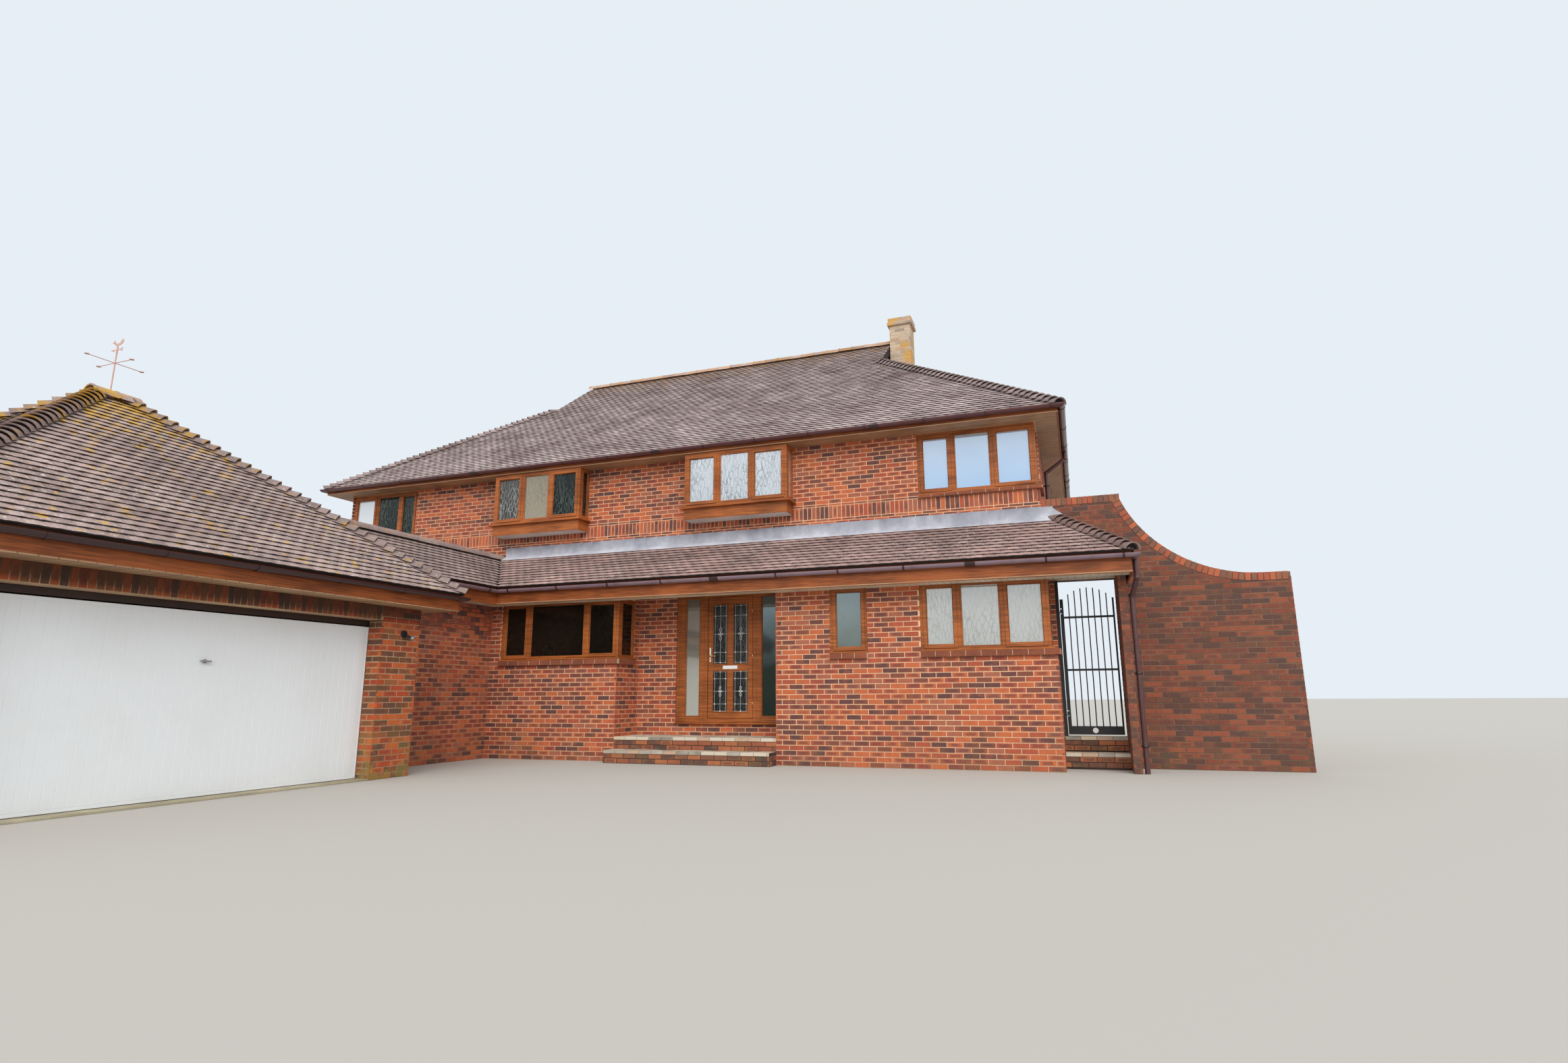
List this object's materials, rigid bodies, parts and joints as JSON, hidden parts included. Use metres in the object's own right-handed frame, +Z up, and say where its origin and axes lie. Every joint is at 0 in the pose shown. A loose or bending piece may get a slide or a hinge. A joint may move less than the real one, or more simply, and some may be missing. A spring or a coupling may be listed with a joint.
{
  "type": "detached house",
  "caption": "Detached brick house with a hipped tiled roof, lean-to front with porch, garage joined by a link, and a gated side passage.",
  "frame": {"origin": "on the ground under the middle of the front wall's thickness, in line with the middle of the two-storey block", "axes": "+X to the right along the front, +Y from the front to the back, +Z up"},
  "size_m": [17.65, 18.957, 9.411],
  "materials": {
    "brick": "matte",
    "stack_brick": "matte",
    "concrete": "matte",
    "step_brick": "matte",
    "roof_tile": "matte",
    "sill_tile": "matte",
    "oak": "satin",
    "soffit": "satin",
    "cream_board": "satin",
    "gutter": "satin",
    "lead": "matte",
    "glass": "clear",
    "iron": "satin",
    "frame_brown": "satin",
    "door_white": "satin",
    "steel": "satin",
    "brass": "polished",
    "vane": "satin"
  },
  "bodies": {
    "root": {"front_right_wall": "brick", "front_left_walls": "brick", "front_return_walls": "brick", "porch_wall": "brick", "upper_front_wall": "brick", "right_wall": "brick", "left_wall": "brick", "back_wall": "brick", "screen_wall": "brick", "gate_pier": "brick", "garage_walls": "brick", "link_walls": "brick", "ground_floor": "concrete", "first_floor": "concrete", "porch_steps": "step_brick", "gate_steps": "step_brick", "garage_floor": "concrete", "main_roof": "roof_tile", "leanto_roof": "roof_tile", "link_roof": "roof_tile", "garage_roof": "roof_tile", "chimney_stack": "stack_brick", "chimney_cap": "stack_brick", "lead_flashing": "lead", "fascias": "oak", "main_soffits": "soffit", "low_soffits": "cream_board", "gutters": "gutter", "downpipes": "gutter", "window_sills": "sill_tile", "lower_windows": "oak", "upper_windows": "oak", "oriel_aprons": "oak", "lower_glass": "glass", "upper_glass": "glass", "door_frame": "oak", "gate_post": "iron", "garage_frame": "frame_brown", "vane_rod": "vane"},
    "front_door": {"front_door": "oak", "door_glass": "glass"},
    "door_handle": {"door_handle": "brass"},
    "side_gate": {"side_gate": "iron"},
    "door_arms": {"door_arms": "steel"},
    "garage_door": {"garage_door": "door_white"},
    "garage_handle": {"garage_handle": "iron"},
    "weathervane": {"weathervane": "vane"}
  },
  "joints": [
    {"name": "front_door_hinge", "type": "hinge", "parent": "root", "child": "front_door", "pos_m": [2.271, 0.653, 1.681], "axis": [0, 0, -1], "range_deg": [0, 95]},
    {"name": "door_handle_turn", "type": "hinge", "parent": "front_door", "child": "door_handle", "pos_m": [1.493, 0.618, 1.695], "axis": [0, 1, 0], "range_deg": [0, 45], "stiffness_Nm_per_rad": 1, "springref_deg": -17.19},
    {"name": "gate_hinge", "type": "hinge", "parent": "root", "child": "side_gate", "pos_m": [7.169, 0.752, 1.5], "axis": [0, 0, 1], "range_deg": [0, 90]},
    {"name": "garage_arms_hinge", "type": "hinge", "parent": "root", "child": "door_arms", "pos_m": [-1.622, -5.8615, 1.83], "axis": [0, 1, 0], "range_deg": [0, 84]},
    {"name": "garage_door_hinge", "type": "hinge", "parent": "door_arms", "child": "garage_door", "pos_m": [-1.622, -5.8615, 1.24], "axis": [0, 1, 0], "range_deg": [-168, 0]},
    {"name": "garage_handle_turn", "type": "hinge", "parent": "garage_door", "child": "garage_handle", "pos_m": [-1.511, -5.8615, 1.432], "axis": [1, 0, 0], "range_deg": [0, 90]},
    {"name": "weathervane_turn", "type": "hinge", "parent": "root", "child": "weathervane", "pos_m": [-3.854, -5.85, 5.39], "axis": [0, 0, 1], "continuous": true}
  ],
  "couplings": [
    {"joint": "garage_door_hinge", "follows": "garage_arms_hinge", "ratio": -2}
  ]
}
